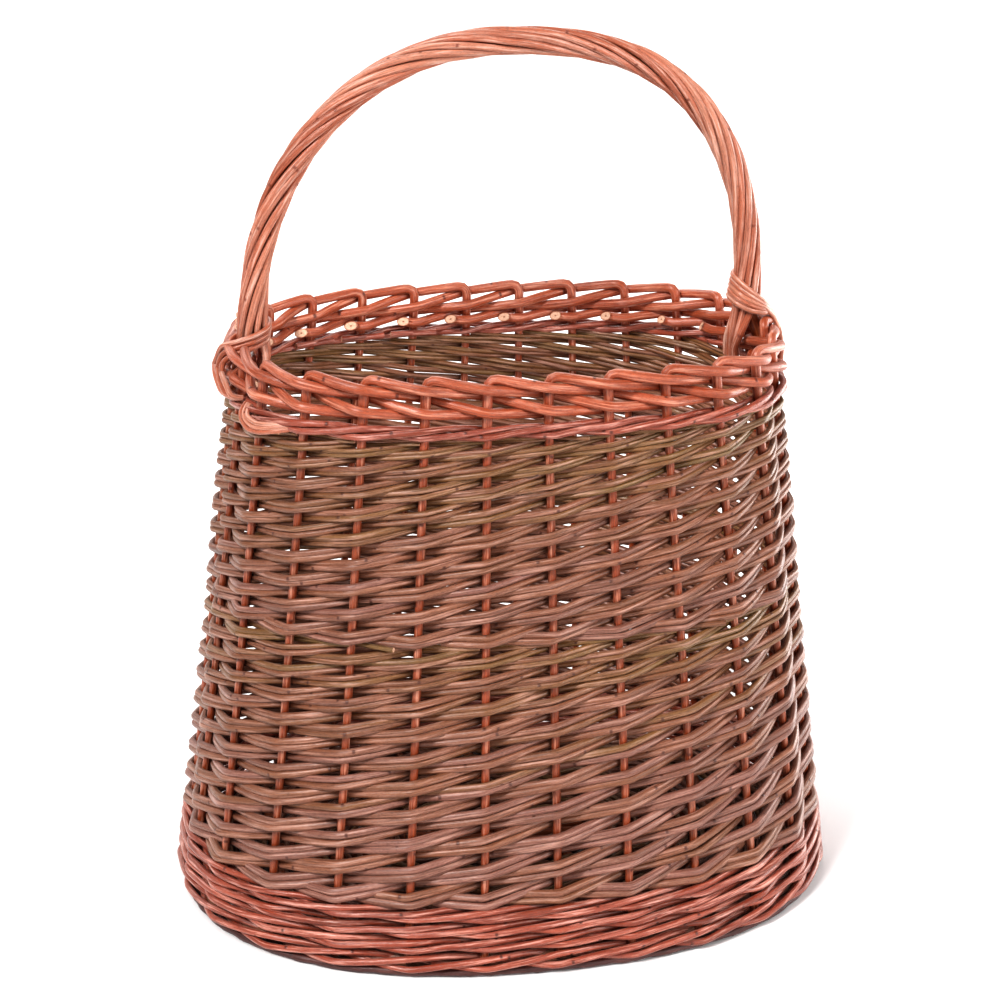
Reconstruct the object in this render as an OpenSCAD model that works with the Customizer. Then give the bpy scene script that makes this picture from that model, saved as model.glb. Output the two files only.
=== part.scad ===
// Oval woven willow basket with a fixed, roped bow handle.
// Millimetres. Z is up and the floor is Z = 0. The long axis and the handle's bow lie along X.
// A place on the wall is (u, r, z): u counts stakes along the oval, r is the distance outwards
// from the line that the stakes stand on, and z is the height.

/* [Basket] */
// Length of the stakes' oval at the floor
base_length = 400; // [380:430]
// Width of the stakes' oval at the floor
base_width = 315; // [295:335]
// Length of the stakes' oval at the rim
rim_length = 313; // [300:335]
// Width of the stakes' oval at the rim
rim_width = 213; // [200:235]
// Height from the floor to the top of the border
body_height = 347.5; // [335:365]
// Number of upright stakes
stake_count = 26; // [24:2:28]

/* [Rods] */
// Thickness of a stake and of the border it turns into
stake_diameter = 5; // [4.4:0.2:5.2]
// Thickness of the woven walls
wall_thickness = 13.6; // [13:0.2:14.4]
// Height of one round of waling
wale_height = 9; // [8.6:0.2:9.4]
// Height of the lower siding block
lower_siding_height = 153; // [140:160]

/* [Base] */
// Thickness of the woven base
base_thickness = 14; // [13:0.5:15]
// Thickness of a cross stick, which the long sticks are threaded through
cross_stick_diameter = 8; // [7.6:0.2:8.8]
// Thickness of a long stick
long_stick_diameter = 5; // [4:0.2:5.2]
// Number of cross sticks
cross_stick_count = 9; // [7:2:11]

/* [Handle] */
// Height of the top of the bow's centre line
handle_top = 515; // [480:540]
// Thickness of the bow rod
bow_diameter = 8; // [7:0.5:8]
// How far the bow is pushed down into the siding, below the top wale
bow_depth = 95; // [60:120]
// Number of rods roped around the bow
roping_count = 9; // [8:9]
// Thickness of a roping rod
roping_diameter = 4; // [3.6:0.1:4]
// Turns that the roping makes from foot to foot
roping_turns = 2.6; // [2:0.1:3]

/* [Hidden] */
gap = 0.3;                          // clearance between neighbouring pieces
base_roundness = 2.3;               // exponent of the oval at the floor: 2 is an ellipse
rim_roundness = 2.75;               // and at the rim, which is squarer
leg_offset = 0.378;                 // from the stake before it to each handle leg, in stake spacings
marks_per_stake = 12;               // resolution of the stored ovals
oval_samples = 360;
mark_count = stake_count * marks_per_stake;

stake_radius = stake_diameter / 2;
half_wall = wall_thickness / 2;
half_wale = half_wall + 0.4;
wall_stations = stake_count * 3;
station_pitch = stake_count / wall_stations;
stake_bore = stake_diameter + 2 * gap + 0.2;
bore_sides = 8;
half_base = base_thickness / 2;
leg_places = [leg_offset, leg_offset + stake_count / 2];

foot_wale_start = 6;                // the base's edge shows below the foot wale
foot_wale_rounds = 4;
lower_siding_start = foot_wale_start + foot_wale_rounds * wale_height;
upper_siding_start = lower_siding_start + lower_siding_height;
border_rise = 27.5;                 // from the top wale to the border's top
border_start = body_height - border_rise;
top_wale_start = border_start - wale_height;
base_edge = -3.5;                   // the base's outer edge, in from the stakes' line
base_shoulder = -(half_wall + 0.8); // its upper layer stops inside the foot wale
stake_foot_depth = 28;              // how far a stake's foot reaches into the base
stick_end = -34;                    // the base sticks end short of the stakes' feet
long_stick_count = 3;
long_stick_pitch = 9;
cross_stick_pitch = 36;

weave_reach = stake_radius + 3.2;   // border rods run this far outside or inside the stakes
leg_reach = bow_diameter / 2 + stake_diameter / 2 + 1.5; // and this far at a handle leg
// Heights of a border rod above the top wale: its bend, then at each of the next four stakes
border_levels = [border_rise - stake_radius, 20, 14, 8.2, 3.1];
border_sides = [0, 1, -1, 1, -1];   // outside (1) or inside (-1) those stakes
border_tail = 0.32;                 // how far the cut end runs past the fourth stake

bow_half_span = 150;                // half width of the bow where its curve begins
bow_foot_height = body_height + 1;
right_power = 2.57;                 // exponent of its curve: 2 is an ellipse, and the right side is squarer
left_power = 2.11;
bow_knee = 11.5;                    // below the border's top, where each leg enters the wall
bow_steps = 44;
roping_steps = 36;
roping_radius = bow_diameter / 2 + roping_diameter / 2 + 0.25;
roping_start = 5;                   // the roping ends this far above the border
lashing_diameter = 3.4;
lashing_radius = roping_radius + roping_diameter / 2 + lashing_diameter / 2 + gap;
lashing_turns = 3;
lashing_pitch = 4;
right_lashing_rise = 13;            // from the border's top to the lashing's centre line
left_lashing_rise = 9;
lashing_tilt = 18;                  // degrees, and the outer side is the lower one
tail_spread = 0.13;                 // between the lashing tails, in stake spacings
tail_count = 3;

willow = "peru";
bark = "tan";
buff = "sandybrown";

// ---------- the stakes' oval ----------

function oval_point(half_length, half_width, power, angle) = [
    half_length * sign(cos(angle)) * pow(abs(cos(angle)), 2 / power),
    half_width * sign(sin(angle)) * pow(abs(sin(angle)), 2 / power)
];

// Angle against distance along the outline
function outline_lengths(half_length, half_width, power) = [
    for (
        i = 0, travelled = 0, here = oval_point(half_length, half_width, power, 0);
        i <= oval_samples;
        i = i + 1,
        next = oval_point(half_length, half_width, power, i * 360 / oval_samples),
        travelled = travelled + norm(next - here),
        here = next
    ) [travelled, i * 360 / oval_samples]
];

// Points at even distances along the outline
function even_marks(half_length, half_width, power) =
    let (
        lengths = outline_lengths(half_length, half_width, power),
        around = lengths[oval_samples][0]
    ) [
        for (k = [0 : mark_count - 1])
            oval_point(half_length, half_width, power, lookup(k * around / mark_count, lengths))
    ];

base_marks = even_marks(base_length / 2, base_width / 2, base_roundness);
rim_marks = even_marks(rim_length / 2, rim_width / 2, rim_roundness);

// Unit vectors that point out of the wall
outward_marks = [
    for (k = [0 : mark_count - 1])
        let (
            ahead = (k + 1) % mark_count,
            behind = (k + mark_count - 1) % mark_count,
            along = base_marks[ahead] - base_marks[behind] + rim_marks[ahead] - rim_marks[behind]
        ) [along[1], -along[0]] / norm(along)
];

function at_mark(marks, u) =
    let (
        place = (u - leg_offset) * marks_per_stake,
        low = floor(place),
        share = place - low,
        k = ((low % mark_count) + mark_count) % mark_count
    ) marks[k] * (1 - share) + marks[(k + 1) % mark_count] * share;

function outward(u) =
    let (direction = at_mark(outward_marks, u)) direction / norm(direction);

function wall(u, r, z) =
    let (
        rise = z / body_height,
        point = at_mark(base_marks, u) * (1 - rise) + at_mark(rim_marks, u) * rise + outward(u) * r
    ) [point[0], point[1], z];

// ---------- shapes ----------

function unit(v) = v / norm(v);

function tube_faces(rings, sides) = concat(
    [for (i = [0 : rings - 2], j = [0 : sides - 1])
        [i * sides + j, i * sides + (j + 1) % sides, (i + 1) * sides + j]],
    [for (i = [0 : rings - 2], j = [0 : sides - 1])
        [i * sides + (j + 1) % sides, (i + 1) * sides + (j + 1) % sides, (i + 1) * sides + j]],
    [[for (j = [sides - 1 : -1 : 0]) j]],
    [[for (j = [0 : sides - 1]) (rings - 1) * sides + j]]
);

// A round rod along a path. Each reference vector leans across the path, and keeps it from twisting.
module rod(path, references, diameter, sides = 6) {
    last = len(path) - 1;
    points = [
        for (i = [0 : last])
            let (
                before = i == 0 ? undef : unit(path[i] - path[i - 1]),
                after = i == last ? undef : unit(path[i + 1] - path[i]),
                along = i == 0 ? after : i == last ? before : unit(before + after),
                mitre = i == 0 || i == last ? 1 : 1 / max(0.7, sqrt((1 + before * after) / 2)),
                across = unit(cross(along, references[i])),
                upright = cross(across, along),
                bend = i == 0 || i == last || norm(after - before) < 0.01
                    ? upright
                    : unit(after - before),
                level = cross(bend, along)
            )
            for (j = [0 : sides - 1])
                let (
                    turn = (j + 0.5) * 360 / sides,
                    spoke = across * cos(turn) + upright * sin(turn),
                    stretched = bend * (spoke * bend) * mitre + level * (spoke * level)
                ) path[i] + stretched * diameter / 2
    ];
    polyhedron(points, tube_faces(last + 1, sides), convexity = 8);
}

// Everything inside the wall's face at r, from one height to another. It leans as the wall does.
module leaning_block(r, low, high) {
    points = [for (z = [low, high], k = [0 : wall_stations - 1]) wall(leg_offset + k * station_pitch, r, z)];
    sides = [
        for (k = [0 : wall_stations - 1])
            let (ahead = (k + 1) % wall_stations)
            each [
                [k, k + wall_stations, ahead],
                [ahead, k + wall_stations, ahead + wall_stations]
            ]
    ];
    floor_face = [for (k = [0 : wall_stations - 1]) k];
    top_face = [for (k = [wall_stations - 1 : -1 : 0]) k + wall_stations];
    polyhedron(points, concat(sides, [floor_face, top_face]), convexity = 4);
}

// A band around the stakes, upright, with its own thickness on each side of their line
module band(half_thickness, low, high) {
    middle = (low + high) / 2;
    translate([0, 0, low]) linear_extrude(high - low) difference() {
        wall_outline(half_thickness, middle);
        wall_outline(-half_thickness, middle);
    }
}

module wall_outline(r, z) {
    polygon([
        for (k = [0 : wall_stations - 1])
            let (point = wall(leg_offset + k * station_pitch, r, z)) [point[0], point[1]]
    ]);
}

// A straight round bar from one point to another
module bar(start, end, diameter) {
    run = end - start;
    translate(start)
        rotate([0, acos(run[2] / norm(run)), atan2(run[1], run[0])])
            cylinder(h = norm(run), d = diameter, $fn = 32);
}

// A hole that clears a round rod of that diameter
module bore(start, end, diameter) {
    run = end - start;
    translate(start)
        rotate([0, acos(run[2] / norm(run)), atan2(run[1], run[0])])
            cylinder(h = norm(run), d = diameter / cos(180 / bore_sides), $fn = bore_sides);
}

// ---------- base ----------

module base_outline(inset) {
    polygon([for (k = [0 : 3 : mark_count - 1]) base_marks[k] + outward_marks[k] * inset]);
}

module long_stick(number, diameter, reach = 0) {
    y = (number - (long_stick_count - 1) / 2) * long_stick_pitch;
    half = base_length / 2 + stick_end + reach;
    bar([-half, y, half_base], [half, y, half_base], diameter);
}

module long_stick_pieces() {
    for (number = [0 : long_stick_count - 1])
        color(willow) long_stick(number, long_stick_diameter);
}

function cross_stick_x(number) = (number - (cross_stick_count - 1) / 2) * cross_stick_pitch;

// Half length of a cross stick, which follows the oval
function cross_stick_reach(number) =
    base_width / 2
    * pow(1 - pow(abs(cross_stick_x(number)) / (base_length / 2), base_roundness), 1 / base_roundness)
    + stick_end;

module cross_stick(number, diameter, reach = 0) {
    x = cross_stick_x(number);
    half = cross_stick_reach(number) + reach;
    bar([x, -half, half_base], [x, half, half_base], diameter);
}

// The cross sticks are split, and the long sticks lie in the split
module cross_stick_pieces() {
    split_height = long_stick_diameter + 2 * gap;
    split_length = (long_stick_count - 1) * long_stick_pitch + split_height + 1;
    for (number = [0 : cross_stick_count - 1])
        color(willow) difference() {
            cross_stick(number, cross_stick_diameter);
            translate([cross_stick_x(number), 0, half_base])
                cube([2 * cross_stick_diameter, split_length, split_height], center = true);
        }
}

// Room in the base's weave for the sticks and for the stakes' feet
module base_channels() {
    for (number = [0 : long_stick_count - 1])
        long_stick(number, long_stick_diameter + 2 * gap, 1);
    for (number = [0 : cross_stick_count - 1])
        cross_stick(number, cross_stick_diameter + 2 * gap, 1);
    for (i = [0 : stake_count - 1])
        bore(wall(i, -stake_foot_depth - 1, half_base), wall(i, 6, half_base), stake_bore);
}

module base_weave_under() {
    color(bark) difference() {
        linear_extrude(half_base - gap / 2) base_outline(base_edge);
        base_channels();
    }
}

module base_weave_over() {
    color(bark) difference() {
        translate([0, 0, half_base + gap / 2])
            linear_extrude(half_base - gap / 2) base_outline(base_shoulder);
        base_channels();
    }
}

// ---------- stakes and border ----------

// Where a border rod crosses a handle leg after its step-th stake, or nothing
function leg_detour(i, step) =
    (i + step) % (stake_count / 2) != 0 || step == 4
        ? []
        : [[
            i + step + leg_offset,
            leg_reach * (step == 0 ? 1 : border_sides[step]),
            border_start + border_levels[step] * (1 - leg_offset) + border_levels[step + 1] * leg_offset
        ]];

// The border's part of stake i, as a list of [u, r, z]
function border_places(i) = concat(
    [[i, 0, border_start + border_levels[0] - 3.5], [i + 0.03, 0.2, border_start + border_levels[0] - 0.9]],
    [[i + 0.12, 0.7, border_start + border_levels[0]]],
    leg_detour(i, 0),
    [for (step = [1 : 4]) each concat(
        [[i + step, weave_reach * border_sides[step], border_start + border_levels[step]]],
        leg_detour(i, step)
    )],
    [[
        i + 4 + border_tail,
        -((i + 4) % (stake_count / 2) == 0 ? leg_reach : weave_reach),
        border_start + border_levels[4]
    ]]
);

// A stake: its foot lies in the base, it rises through the weave and bends over into the border
module stake(i) {
    foot_out = [outward(i)[0], outward(i)[1], 0];
    upward = [0, 0, 1];
    places = concat([[i, -stake_foot_depth, half_base], [i, 0, half_base]], border_places(i));
    path = [for (place = places) wall(place[0], place[1], place[2])];
    references = concat(
        [-upward, unit(foot_out - upward)],
        [for (k = [2 : len(places) - 1]) let (out = outward(places[k][0])) [out[0], out[1], 0]]
    );
    color(willow) rod(path, references, stake_diameter, 8);
}

// Straight holes that the stakes pass through, in anything woven around them
module stake_bores(low, high) {
    for (i = [0 : stake_count - 1])
        bore(wall(i, 0, low - 2), wall(i, 0, high + 2), stake_bore);
}

module leg_bores(low, high) {
    for (u = leg_places)
        bore(wall(u, 0, low), wall(u, 0, high + 2), bow_diameter + 2 * gap);
}

// ---------- walls ----------

module foot_wale(number) {
    low = foot_wale_start + number * wale_height;
    color(willow) difference() {
        band(half_wale, low + gap / 2, low + wale_height - gap / 2);
        stake_bores(low - 6, low + wale_height);
        if (number == 0)
            for (i = [0 : stake_count - 1])
                bore(wall(i, -12, half_base), wall(i, stake_radius + gap, half_base), stake_bore);
    }
}

module top_wale() {
    color(willow) difference() {
        band(half_wale, top_wale_start + gap / 2, border_start - gap / 2);
        stake_bores(top_wale_start, border_start);
        leg_bores(top_wale_start - 3, border_start);
    }
}

module siding(low, high) {
    difference() {
        leaning_block(half_wall, low + gap / 2, high - gap / 2);
        leaning_block(-half_wall, low - 1, high + 1);
        stake_bores(low, high);
    }
}

module siding_lower() {
    color(bark) siding(lower_siding_start, upper_siding_start);
}

module siding_upper() {
    color(bark) difference() {
        siding(upper_siding_start, top_wale_start);
        leg_bores(top_wale_start - bow_depth - 1, top_wale_start);
    }
}

// ---------- handle ----------

// The bow's centre line above the rim. The angle is 0 at the right foot and 180 at the left.
function bow_point(angle) =
    let (power = angle < 90 ? right_power : left_power) [
        bow_half_span * sign(cos(angle)) * pow(abs(cos(angle)), 2 / power),
        0,
        bow_foot_height + (handle_top - bow_foot_height) * pow(abs(sin(angle)), 2 / power)
    ];

// The angle from a foot at which the bow has just cleared the border by a given height
function bow_angle(height, power) =
    asin(pow((body_height + height - bow_foot_height) / (handle_top - bow_foot_height), power / 2));

module handle_bow() {
    low = top_wale_start - bow_depth;
    knee = body_height - bow_knee;
    arch = [for (k = [0 : bow_steps]) bow_point(k * 180 / bow_steps)];
    right_leg = [wall(leg_places[0], 0, low), wall(leg_places[0], 0, knee)];
    left_leg = [wall(leg_places[1], 0, knee), wall(leg_places[1], 0, low)];
    path = concat(right_leg, arch, left_leg);
    color(buff) rod(path, [for (point = path) [0, 1, 0]], bow_diameter, 8);
}

// Direction across the bow, in its plane
function bow_across(angle) =
    let (along = unit(bow_point(angle + 0.5) - bow_point(angle - 0.5))) cross([0, 1, 0], along);

module roping_rod(number) {
    first = bow_angle(roping_start, right_power);
    last = 180 - bow_angle(roping_start, left_power);
    path = [
        for (k = [0 : roping_steps])
            let (
                share = k / roping_steps,
                angle = first + share * (last - first),
                turn = number * 360 / roping_count + share * roping_turns * 360
            )
            bow_point(angle) + roping_radius * (bow_across(angle) * cos(turn) + [0, 1, 0] * sin(turn))
    ];
    color(buff) rod(path, [for (point = path) [0, 1, 0]], roping_diameter);
}

module handle_roping() {
    for (number = [0 : roping_count - 1]) roping_rod(number);
}

// A lashing winds around the roped bow, tilted, just above the border. Its lean is the side of the
// bow's length, ahead (1) or behind (-1), that its outer side is shifted towards.
module lashing(angle_at_foot, lean) {
    middle = bow_point(angle_at_foot);
    along = unit(bow_point(angle_at_foot + 0.5) - bow_point(angle_at_foot - 0.5));
    out = cross([0, 1, 0], along);
    steps = 12 * lashing_turns;
    path = [
        for (k = [0 : steps])
            let (
                turn = k * 30,
                shift = (k / steps - 0.5) * lashing_turns * lashing_pitch
                    + lean * tan(lashing_tilt) * lashing_radius * cos(turn)
            )
            middle + along * shift + lashing_radius * (out * cos(turn) + [0, 1, 0] * sin(turn))
    ];
    color(buff) rod(path, [for (point = path) along], lashing_diameter);
}

// Lashing ends that run down over the outside of the border and tuck in under it
module lashing_tails(u) {
    for (number = [0 : tail_count - 1]) {
        v = u + (number - (tail_count - 1) / 2) * tail_spread;
        places = [
            [v, 13.6, body_height + 1], [v, 13.9, body_height - 8],
            [v, 12.4, border_start + 4], [v, 10.6, top_wale_start + 3]
        ];
        path = [for (place = places) wall(place[0], place[1], place[2])];
        color(buff) rod(path, [for (place = places) [0, 1, 0]], lashing_diameter);
    }
}

function two_digits(number) = str(number < 10 ? "0" : "", number);

long_stick_pieces();  // long_sticks
cross_stick_pieces();  // cross_sticks
base_weave_under();
base_weave_over();
for (number = [1 : foot_wale_rounds])
    foot_wale(number - 1);
siding_lower();
siding_upper();
top_wale();
for (number = [1 : stake_count])
    stake(number - 1);
handle_bow();
handle_roping();
lashing(bow_angle(right_lashing_rise, right_power), -1);  // lashing_right
lashing(180 - bow_angle(left_lashing_rise, left_power), 1);  // lashing_left
lashing_tails(leg_places[0]);  // lashing_tails_right
lashing_tails(leg_places[1]);  // lashing_tails_left
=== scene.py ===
"""The looks of the woven willow basket, rod by rod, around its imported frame.

Lengths in this file are millimetres, until a mesh is made. A place on the wall is (u, r, z):
u counts stakes along the oval, anticlockwise from above, r is the distance outwards from the line
that the stakes stand on, and z is the height.
"""

import math

import bpy
import numpy as np
from mathutils import Matrix, Vector


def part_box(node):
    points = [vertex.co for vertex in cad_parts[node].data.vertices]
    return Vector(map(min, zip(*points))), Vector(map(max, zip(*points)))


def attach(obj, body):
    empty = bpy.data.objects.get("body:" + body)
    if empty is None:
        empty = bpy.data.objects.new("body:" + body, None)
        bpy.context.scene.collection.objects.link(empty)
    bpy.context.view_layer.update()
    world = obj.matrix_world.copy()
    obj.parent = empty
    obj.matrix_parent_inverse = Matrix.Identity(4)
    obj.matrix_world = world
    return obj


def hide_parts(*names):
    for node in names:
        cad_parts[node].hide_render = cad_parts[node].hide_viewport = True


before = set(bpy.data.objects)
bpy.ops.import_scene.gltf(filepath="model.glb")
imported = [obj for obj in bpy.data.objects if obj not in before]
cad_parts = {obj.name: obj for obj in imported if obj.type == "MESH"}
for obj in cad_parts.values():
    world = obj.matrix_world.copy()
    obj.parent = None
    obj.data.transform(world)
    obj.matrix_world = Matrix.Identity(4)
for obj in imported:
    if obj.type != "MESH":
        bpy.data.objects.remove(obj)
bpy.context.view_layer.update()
chance = np.random.default_rng(26)

MM = 0.001

# ---------- sizes, from the frame ----------

STAKES = 26
LEG_SHARE = 0.378          # from the stake before it to each handle leg, in stake spacings
LEGS = (LEG_SHARE, LEG_SHARE + STAKES / 2)
FLOOR_ROUNDNESS = 2.3      # exponent of the oval at the floor
RIM_ROUNDNESS = 2.75       # and at the rim
HALF_WALE = 7.2            # half thickness of a wale band in the frame
BACK = 6.5                 # u at the middle of the back, where a wale starts and ends


def box_mm(node):
    low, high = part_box(node)
    return np.array(low) / MM, np.array(high) / MM


def band_line(node):
    """Half lengths of the stakes' oval half way up a wale, and that height."""
    low, high = box_mm(node)
    return (high - low)[:2] / 2 - HALF_WALE, (low[2] + high[2]) / 2


foot_half, foot_middle = band_line("foot_wale_1")
rim_half, rim_middle = band_line("top_wale")
TOP = box_mm("stake_02")[1][2]
slope = (rim_half - foot_half) / (rim_middle - foot_middle)
floor_half = foot_half - slope * foot_middle
top_half = floor_half + slope * TOP
BORDER = round(box_mm("top_wale")[1][2])
BASE_TOP = box_mm("base_weave_over")[1][2]
BASE_MIDDLE = BASE_TOP / 2

# ---------- the wall ----------

MARKS_PER_STAKE = 40       # points kept along the wall's ovals
MARKS = STAKES * MARKS_PER_STAKE
OVAL_SAMPLES = 6001        # points that the oval's length is measured with


def distances(points):
    """How far along the line each of its points is."""
    steps = np.linalg.norm(np.diff(points, axis=0), axis=1)
    return np.concatenate([[0], np.cumsum(steps)])


def oval(half, power, count):
    """Points at even distances along the oval, anticlockwise from +X."""
    turn = np.linspace(0, 2 * math.pi, OVAL_SAMPLES)
    c, s = np.cos(turn), np.sin(turn)
    points = np.stack([
        half[0] * np.sign(c) * np.abs(c) ** (2 / power),
        half[1] * np.sign(s) * np.abs(s) ** (2 / power),
    ], 1)
    travelled = distances(points)
    wanted = np.linspace(0, travelled[-1], count, endpoint=False)
    return np.stack([np.interp(wanted, travelled, points[:, k]) for k in (0, 1)], 1)


floor_marks = oval(floor_half, FLOOR_ROUNDNESS, MARKS)
top_marks = oval(top_half, RIM_ROUNDNESS, MARKS)
marks_along = np.roll(floor_marks + top_marks, -1, 0) - np.roll(floor_marks + top_marks, 1, 0)
out_marks = np.stack([marks_along[:, 1], -marks_along[:, 0]], 1)
out_marks /= np.linalg.norm(out_marks, axis=1, keepdims=True)


def at_mark(marks, u):
    """The values of a row of marks at u, between one mark and the next."""
    place = (np.asarray(u, float) - LEG_SHARE) * MARKS_PER_STAKE
    low = np.floor(place).astype(int)
    share = (place - low)[..., None]
    return marks[low % MARKS] * (1 - share) + marks[(low + 1) % MARKS] * share


def outward(u):
    """The level direction straight out of the wall."""
    out = at_mark(out_marks, u)
    return out / np.linalg.norm(out, axis=-1, keepdims=True)


def wall(places):
    """Points in space for rows of (u, r, z)."""
    places = np.asarray(places, float)
    u, r, z = places.T
    rise = (z / TOP)[:, None]
    flat = at_mark(floor_marks, u) * (1 - rise) + at_mark(top_marks, u) * rise
    return np.column_stack([flat + outward(u) * r[:, None], z])


# ---------- centre lines ----------

STAKE_PITCH = 38           # typical, only for how finely a course is sampled
COURSE_STEP = 1.5          # between a course's points before it is softened


def resample(points, step):
    """The same line with its points at even distances of about that step."""
    travelled = distances(points)
    count = max(3, int(round(travelled[-1] / step)) + 1)
    wanted = np.linspace(0, travelled[-1], count)
    return np.stack([np.interp(wanted, travelled, points[:, k]) for k in range(3)], 1)


def soften(points, soft, step):
    """Rounds the kinks of a line over a distance, and spaces its points evenly."""
    fine = resample(points, 1)
    reach = min(int(3 * soft) + 1, len(fine) - 2)
    offsets = np.arange(-reach, reach + 1)
    weights = np.exp(-0.5 * (offsets / soft) ** 2)
    before = 2 * fine[0] - fine[reach:0:-1]
    after = 2 * fine[-1] - fine[-2:-reach - 2:-1]
    padded = np.concatenate([before, fine, after])
    smooth = [np.convolve(padded[:, k], weights / weights.sum(), "valid") for k in range(3)]
    return resample(np.stack(smooth, 1), step)


def course(places, soft, step=3.5):
    """The line through places on the wall, rounded over that distance."""
    places = np.asarray(places, float)
    travelled = distances(places * (STAKE_PITCH, 1, 1))
    wanted = np.linspace(0, travelled[-1], max(2, int(travelled[-1] / COURSE_STEP)))
    dense = np.stack([np.interp(wanted, travelled, places[:, k]) for k in range(3)], 1)
    return soften(wall(dense), soft, step)


# ---------- rods ----------

SIDES = 10                 # of a rod's cross-section
LUMP_SPACING = 20
LUMPINESS = 0.018          # typical share by which a rod swells or thins at a lump
GRAIN_SPAN = 40000         # each rod takes its grain from its own stretch of this length


def unit(v):
    return v / np.linalg.norm(v)


def carried_frame(line):
    """Directions along and across a line, carried along it without twisting."""
    along = np.gradient(line, axis=0)
    along /= np.linalg.norm(along, axis=1, keepdims=True)
    side = np.cross(along[0], (0, 0, 1) if abs(along[0][2]) < 0.9 else (0, 1, 0))
    across = np.empty_like(line)
    for i, direction in enumerate(along):
        side = unit(side - direction * side.dot(direction))
        across[i] = side
    return along, across, np.cross(along, across)


class Bundle:
    """The rods of one piece, as one mesh. Each point has its place in the rod's grain, its tone among
    the bark's shades, and a heart of 1 in the middle of a cut end."""

    def __init__(self):
        self.points, self.grain, self.tone, self.heart = [], [], [], []
        self.faces, self.is_cut = [], []
        self.count = 0

    def add_points(self, points, grain, tone, heart):
        self.points.append(points)
        self.grain.append(grain)
        self.tone.append(np.broadcast_to(tone, len(points)))
        self.heart.append(np.full(len(points), heart))
        self.count += len(points)

    def rod(self, line, width, tone=None, cut=None, sides=SIDES):
        """A rod along a line. Its width and its tone are one number, or numbers from end to end.
        Its far end is cut straight across, or aslant, to face a little towards the direction of the cut."""
        tone = np.atleast_1d(chance.uniform() if tone is None else tone)
        along, across, upright = carried_frame(line)
        travelled = distances(line)
        share = travelled / travelled[-1]
        width = np.atleast_1d(width)
        radius = np.interp(share, np.linspace(0, 1, len(width)), width) / 2
        tones = np.interp(share, np.linspace(0, 1, len(tone)), tone)
        lumps_end = travelled[-1] + 2 * LUMP_SPACING
        lumps = np.interp(travelled, np.arange(0, lumps_end, LUMP_SPACING),
                          chance.normal(0, LUMPINESS, int(lumps_end // LUMP_SPACING) + 1))
        radius = radius * (1 + lumps)
        turn = np.linspace(0, 2 * math.pi, sides, endpoint=False)
        c, s = np.cos(turn)[None, :, None], np.sin(turn)[None, :, None]
        spokes = (across[:, None] * c + upright[:, None] * s) * radius[:, None, None]
        if cut is not None:
            lean = spokes[-1] @ cut
            spokes[-1] -= lean[:, None] * along[-1]
        rings = line[:, None] + spokes
        offset = chance.uniform(0, GRAIN_SPAN)
        grain = np.empty_like(rings)
        grain[..., 0] = (offset + travelled)[:, None]
        grain[..., 1] = radius[:, None] * np.cos(turn)
        grain[..., 2] = radius[:, None] * np.sin(turn)
        base = self.count
        self.add_points(rings.reshape(-1, 3), grain.reshape(-1, 3), np.repeat(tones, sides), 0)
        j = np.arange(sides)
        ahead = (j + 1) % sides
        for i in range(len(line) - 1):
            low = base + i * sides
            high = low + sides
            self.faces += np.column_stack([low + j, low + ahead, high + ahead, high + j]).tolist()
        self.is_cut += [False] * ((len(line) - 1) * sides)
        for end_index in (0, -1):
            ring = rings[end_index]
            first = self.count
            self.add_points(ring, grain[end_index], tones[end_index], 0)
            self.add_points(ring.mean(0)[None], grain[end_index].mean(0)[None], tones[end_index], 1)
            fan = [[first + sides, first + k, first + (k + 1) % sides] for k in range(sides)]
            self.faces += fan if end_index else [face[::-1] for face in fan]
            self.is_cut += [True] * sides

    def piece(self, name, looks, slot, *nodes):
        """Makes the rods one object that shows in place of those nodes."""
        mesh = bpy.data.meshes.new(name)
        mesh.from_pydata(np.concatenate(self.points) * MM, [], self.faces)
        for attribute, kind, field, values in (
            ("grain", "FLOAT_VECTOR", "vector", np.concatenate(self.grain)),
            ("tone", "FLOAT", "value", np.concatenate(self.tone)),
            ("heart", "FLOAT", "value", np.concatenate(self.heart)),
        ):
            layer = mesh.attributes.new(attribute, kind, "POINT")
            layer.data.foreach_set(field, np.ascontiguousarray(values, np.float32).ravel())
        cut = np.array(self.is_cut)
        mesh.materials.append(looks)
        mesh.materials.append(cut_wood)
        mesh.polygons.foreach_set("material_index", cut.astype(np.int32))
        mesh.polygons.foreach_set("use_smooth", ~cut)
        mesh.update()
        piece = bpy.data.objects.new(name, mesh)
        bpy.context.scene.collection.objects.link(piece)
        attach(piece, "root")
        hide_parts(*nodes)


# ---------- materials ----------

def colour(red, green, blue):
    """A screen colour, 0 to 255, as a linear one."""
    linear = [c / 12.92 if c <= 0.04045 else ((c + 0.055) / 1.055) ** 2.4
              for c in (red / 255, green / 255, blue / 255)]
    return (*linear, 1)


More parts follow.
